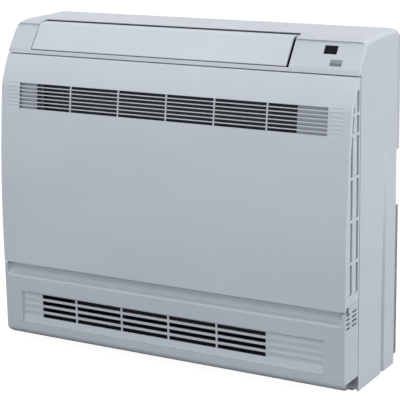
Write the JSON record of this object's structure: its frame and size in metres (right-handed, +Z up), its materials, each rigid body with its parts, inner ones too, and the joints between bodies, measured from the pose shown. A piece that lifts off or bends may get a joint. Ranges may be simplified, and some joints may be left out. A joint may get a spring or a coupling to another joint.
{
  "type": "floor console air conditioner",
  "caption": "Low white floor-standing air conditioner cabinet with a slotted front panel that tilts forward, a flap over the top outlet and a slotted lower grille.",
  "frame": {"origin": "on the floor, under the middle of the whole part's box", "axes": "+X to the right of the front, +Y towards the wall behind, +Z up"},
  "size_m": [0.7, 0.223, 0.6],
  "materials": {
    "top_plastic": "satin",
    "flap_plastic": "satin",
    "panel_plastic": "satin",
    "side_plastic": "fine grain",
    "lower_plastic": "fine grain",
    "frame_plastic": "fine grain",
    "duct_plastic": "matte",
    "dark_plastic": "matte",
    "receiver_dark": "polished",
    "indicator_grey": "satin",
    "filter_mesh": "fine mesh",
    "fin_aluminium": "fine fins",
    "pan_foam": "foam",
    "plain_steel": "galvanised grey",
    "dark_steel": "satin"
  },
  "bodies": {
    "cabinet": {"top_cover": "top_plastic", "left_end_cap": "top_plastic", "control_panel": "top_plastic", "fascia_strip": "top_plastic", "receiver_window": "receiver_dark", "indicator_strip": "indicator_grey", "side_panel_left": "side_plastic", "side_panel_right": "side_plastic", "rear_side_left": "side_plastic", "rear_side_right": "side_plastic", "back_panel": "plain_steel", "hanger_plate_lower": "dark_steel", "hanger_plate_upper": "plain_steel", "base_plate": "plain_steel", "plinth_front": "dark_plastic", "outlet_front_wall": "duct_plastic", "outlet_rear_wall": "duct_plastic", "outlet_end_left": "duct_plastic", "outlet_end_right": "duct_plastic", "guide_vanes": "duct_plastic", "front_frame_top": "frame_plastic", "front_frame_bottom": "frame_plastic", "front_frame_left": "frame_plastic", "front_frame_right": "frame_plastic", "filter_left": "filter_mesh", "filter_right": "filter_mesh", "heat_exchanger": "fin_aluminium", "drain_pan": "pan_foam", "lower_front": "lower_plastic", "lower_cheek_left": "lower_plastic", "lower_cheek_right": "lower_plastic", "lower_grille": "lower_plastic", "lower_duct": "duct_plastic", "panel_hinge_left": "frame_plastic", "panel_hinge_right": "frame_plastic", "panel_catch_left": "frame_plastic", "panel_catch_right": "frame_plastic"},
    "front_panel": {"front_panel": "panel_plastic", "upper_grille": "panel_plastic", "side_grille_left": "panel_plastic", "side_grille_right": "panel_plastic"},
    "flap": {"flap": "flap_plastic"}
  },
  "joints": [
    {"name": "panel_hinge", "type": "hinge", "parent": "cabinet", "child": "front_panel", "pos_m": [0, -0.1015, 0.17], "axis": [1, 0, 0], "range_deg": [0, 30]},
    {"name": "flap_hinge", "type": "hinge", "parent": "cabinet", "child": "flap", "pos_m": [0, -0.05376, 0.55522], "axis": [1, 0, 0], "range_deg": [0, 60]}
  ]
}
